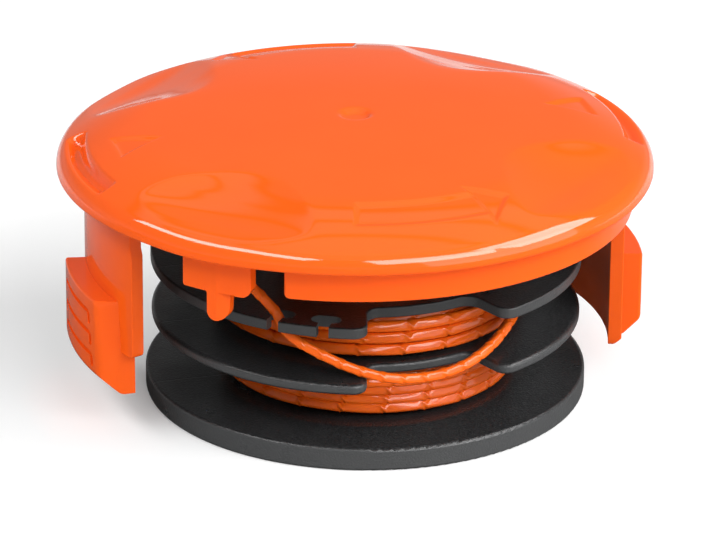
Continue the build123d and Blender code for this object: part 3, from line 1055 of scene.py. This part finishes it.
def makeCap():
    cap = makeDomeSkin()
    pieces = [make(side) for make in (makeSkirt, makeTab, makeArm) for side in (0, 1)]
    pieces.append(makeBoss())
    combine(cap, pieces, solver="MANIFOLD")
    cap.name = "clip_cap"
    cap.data.polygons.foreach_set("use_smooth", [True] * len(cap.data.polygons))
    cap.data.set_sharp_from_angle(angle=math.radians(capDome["sharpAngle"]))
    cap.modifiers.new("even normals", "WEIGHTED_NORMAL").keep_sharp = True
    bake(cap)
    inside = cap.data.attributes.new("inside", "FLOAT", "FACE")
    inside.data.foreach_set("value", [insideShare(face) for face in cap.data.polygons])
    cap.data.transform(Matrix.Scale(mm, 4))
    cap.data.materials.clear()
    cap.data.materials.append(capPlastic)
    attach(cap, "root")
    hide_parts("spool_cap")
    print(f"cap made, {len(cap.data.polygons)} faces")


makeCap()


# spool: the CAD moulding with its own finish

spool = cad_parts["line_spool"]
spool.data.materials.clear()
spool.data.materials.append(spoolPlastic)
print("spool dressed")


# studio: pale floor, three softboxes, a front panel and a soft surround

studio = {
    "floorSize": 6.0,
    "floorColour": (0.78, 0.78, 0.78),
    "floorRough": 0.9,
    "floorShine": 0.1,
    "floorInGloss": (0.10, 0.10, 0.10),  # darker in reflections, so the part's walls keep their colour
    "glossSpan": (0.0, 0.15),  # m behind the axis, where that ends
    "floorLift": 0.22,
    "ambient": (0.25, 0.25, 0.25),  # what matt surfaces get from all round
    "sky": [  # what shiny ones mirror, by the sine of the elevation: bright horizon, dark seams overhead
        (0.0, 0.34), (0.10, 0.34), (0.30, 0.18), (0.66, 0.18), (0.69, 0.02), (0.73, 0.42), (0.80, 0.42),
        (0.82, 0.01), (0.84, 0.42), (0.90, 0.42), (0.915, 0.01), (0.93, 0.42)],
    "aim": (0.0, 0.0, 0.03),
    "boxes": {
        "leftBox": {"place": (-0.36, -0.20, 0.50), "size": (0.80, 0.13), "radiance": 7.6},
        "rightBox": {"place": (0.62, -0.04, 0.52), "size": (0.60, 0.42), "radiance": 6.2},
        "frontBox": {"place": (0.33, -0.53, 0.48), "size": (0.59, 0.28), "radiance": 6.2},
        "frontPanel": {"place": (0.80, -0.50, 0.30), "size": (1.2, 0.8), "radiance": 1.3},
    },
}


def makeFloor():
    half = studio["floorSize"] / 2
    corners = [(-half, -half, 0), (half, -half, 0), (half, half, 0), (-half, half, 0)]
    mesh = bpy.data.meshes.new("floor")
    mesh.from_pydata(corners, [], [(0, 1, 2, 3)])
    floor = newObject("floor", mesh)
    floor.location.z = cadLow.z
    material = bpy.data.materials.new("pale_floor")
    material.use_nodes = True
    tree = material.node_tree
    rays = put(tree, "ShaderNodeLightPath").outputs
    place = put(tree, "ShaderNodeTexCoord").outputs["Object"]
    depth = put(tree, "ShaderNodeSeparateXYZ", {"Vector": place}).outputs["Y"]
    front = ramp(tree, depth, 1.0, 0.0, studio["glossSpan"])
    dark = math2(tree, "MULTIPLY", front, rays["Is Glossy Ray"])
    feed(tree, tree.nodes["Principled BSDF"], {
        "Base Color": mixColours(tree, dark, studio["floorColour"], studio["floorInGloss"]),
        "Roughness": studio["floorRough"],
        "Specular IOR Level": studio["floorShine"],
        "Emission Color": (1, 1, 1, 1),
        "Emission Strength": math2(tree, "MULTIPLY", rays["Is Camera Ray"], studio["floorLift"]),
    })
    mesh.materials.append(material)


def makeSurround():
    world = bpy.data.worlds.new("studio")
    scene.world = world
    world.use_nodes = True
    tree = world.node_tree
    tree.nodes.clear()
    direction = put(tree, "ShaderNodeTexCoord").outputs["Generated"]
    height = put(tree, "ShaderNodeSeparateXYZ", {"Vector": direction}).outputs["Z"]
    bands = put(tree, "ShaderNodeValToRGB", {"Fac": height})
    stops = bands.color_ramp.elements
    stops.remove(stops[1])
    for i, (place, level) in enumerate(studio["sky"]):
        stop = stops.new(place) if i else stops[0]
        stop.color = (level, level, level, 1)
    rays = put(tree, "ShaderNodeLightPath").outputs
    given = mixColours(tree, rays["Is Diffuse Ray"], bands.outputs["Color"], studio["ambient"])
    light = put(tree, "ShaderNodeBackground", {"Color": given, "Strength": 1.0})
    backdrop = put(tree, "ShaderNodeBackground", {"Color": (1, 1, 1, 1), "Strength": 1.0})
    mix = put(tree, "ShaderNodeMixShader", {
        0: rays["Is Camera Ray"], 1: light.outputs["Background"], 2: backdrop.outputs["Background"]})
    put(tree, "ShaderNodeOutputWorld", {"Surface": mix.outputs["Shader"]})


def makeBoxes():
    for name, box in studio["boxes"].items():
        light = bpy.data.lights.new(name, "AREA")
        light.shape = "RECTANGLE"
        light.size, light.size_y = box["size"]
        light.energy = box["radiance"] * math.pi * light.size * light.size_y
        lamp = newObject(name, light)
        lamp.location = box["place"]
        lamp.rotation_euler = (Vector(studio["aim"]) - lamp.location).to_track_quat("-Z", "Y").to_euler()


makeFloor()
makeSurround()
makeBoxes()
print("studio lit")
